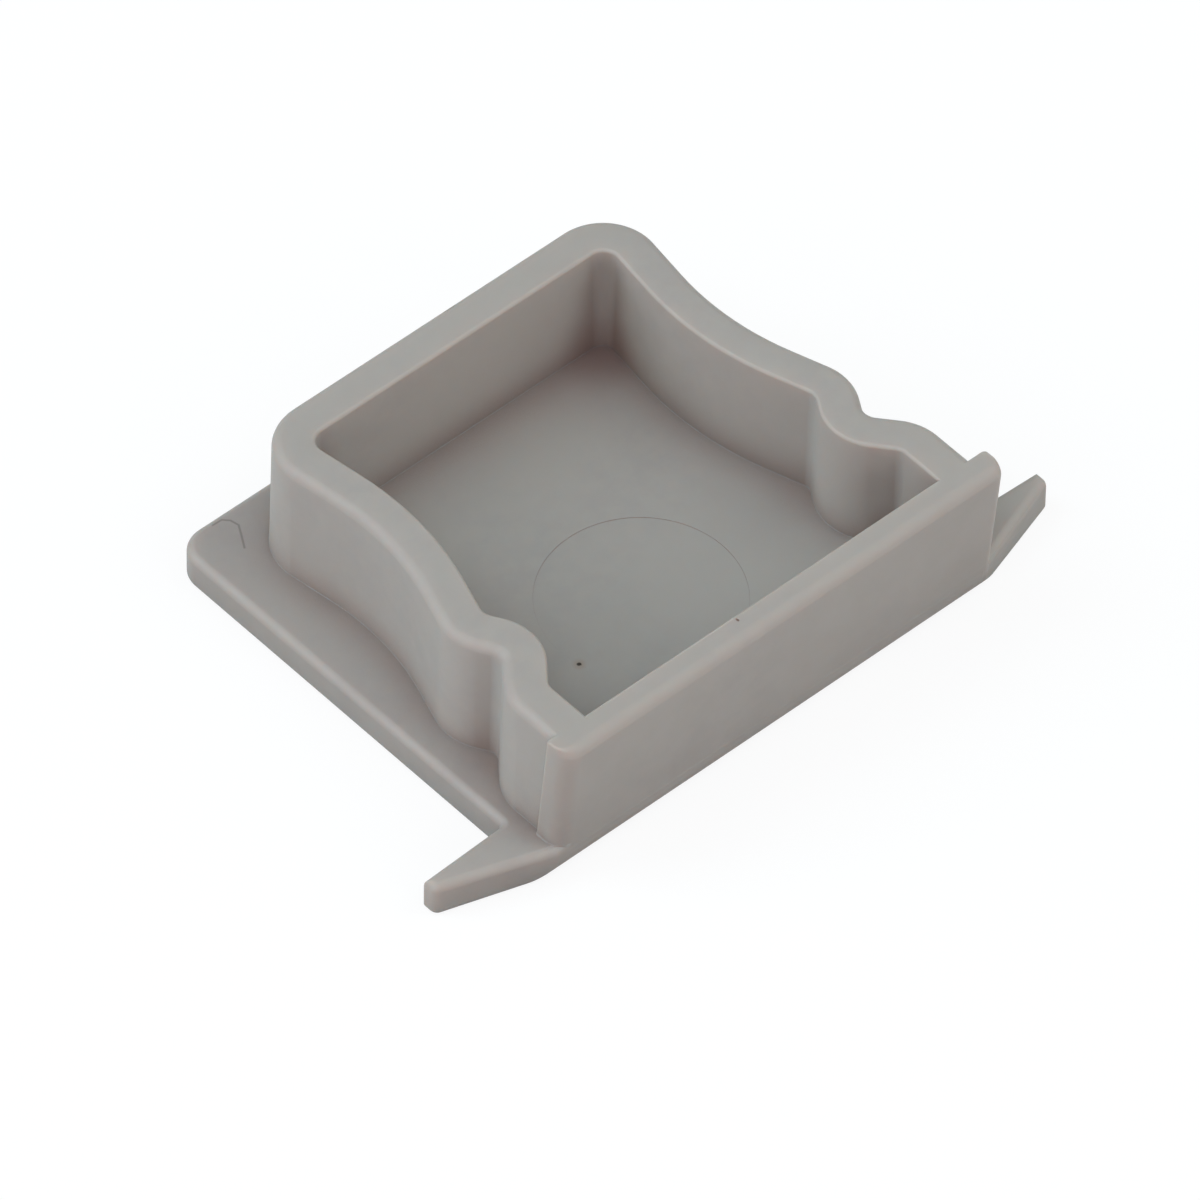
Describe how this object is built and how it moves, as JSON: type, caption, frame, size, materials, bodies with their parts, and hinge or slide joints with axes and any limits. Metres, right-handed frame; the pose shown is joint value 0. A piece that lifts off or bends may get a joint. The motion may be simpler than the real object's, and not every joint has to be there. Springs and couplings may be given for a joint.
{
  "type": "profile end cap",
  "caption": "Moulded end cap for an aluminium profile: flat plate with flared wings, leaning front wall and hollow snap-in plug.",
  "frame": {"origin": "middle of the overall outline, on the outer face of the plate", "axes": "+X along the front wall to the right, +Y from the front wall to the back, +Z from the outer face towards the plug's rim"},
  "size_m": [0.019, 0.0132, 0.0044],
  "materials": {
    "cap": "fine satin, light warm grey, moulded through"
  },
  "bodies": {
    "root": {"end_cap": "cap"}
  },
  "joints": []
}
